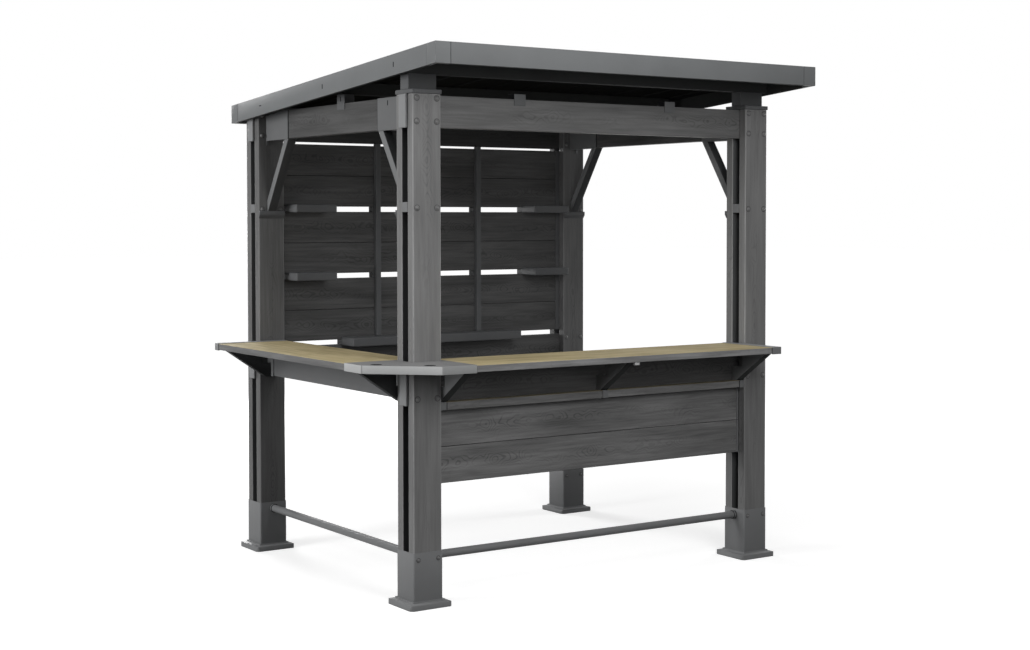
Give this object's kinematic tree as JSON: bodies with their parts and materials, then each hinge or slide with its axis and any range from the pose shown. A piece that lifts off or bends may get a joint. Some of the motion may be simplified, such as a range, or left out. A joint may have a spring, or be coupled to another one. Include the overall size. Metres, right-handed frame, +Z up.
{
  "type": "bar gazebo",
  "caption": "Free-standing open bar gazebo with twin-plank posts, a sloping ribbed roof, serving counters round one corner and a boarded back wall with shelves.",
  "frame": {"origin": "middle of the whole plan on the floor, under the roof", "axes": "+Z up, the front serving side with the longer counter faces -Y, the side counter faces -X and the open way in faces +X"},
  "size_m": [2.328, 2.041, 2.4171],
  "materials": {
    "grained_steel": "powder-coated charcoal steel with an embossed wood grain",
    "smooth_steel": "smooth powder-coated grey steel",
    "counter_board": "light tan wood-look counter board, satin",
    "roof_paint": "dark powder-coated roof steel, satin"
  },
  "bodies": {
    "root": {"front_left_post": "grained_steel", "front_right_post": "grained_steel", "back_left_post": "grained_steel", "back_right_post": "grained_steel", "boot_sleeves": "smooth_steel", "boot_bases": "smooth_steel", "post_spacers": "smooth_steel", "post_caps": "smooth_steel", "roof_risers": "smooth_steel", "front_beam": "grained_steel", "back_beam": "grained_steel", "side_beams": "grained_steel", "beam_brackets": "smooth_steel", "board_end_caps": "smooth_steel", "knee_braces": "grained_steel", "brace_foot_brackets": "smooth_steel", "roof_sheet": "roof_paint", "fascia_boards": "roof_paint", "fascia_corners": "roof_paint", "front_roof_rail": "roof_paint", "cross_rail": "roof_paint", "back_roof_rail": "roof_paint", "beam_clips": "smooth_steel", "front_counter_top": "counter_board", "side_counter_top": "counter_board", "counter_corner": "smooth_steel", "counter_ends": "smooth_steel", "front_gussets": "smooth_steel", "side_gussets": "smooth_steel", "counter_joint_clip": "smooth_steel", "front_apron": "grained_steel", "side_apron": "grained_steel", "apron_brackets": "smooth_steel", "front_ledge": "grained_steel", "ledge_ends": "smooth_steel", "lower_front_boards": "grained_steel", "lower_board_trims": "smooth_steel", "foot_rails": "smooth_steel", "rail_collars": "smooth_steel", "wall_boards": "grained_steel", "wall_board_trims": "smooth_steel", "wall_battens": "grained_steel", "batten_ties": "smooth_steel", "corner_shelves": "smooth_steel", "low_shelf": "smooth_steel"}
  },
  "joints": []
}
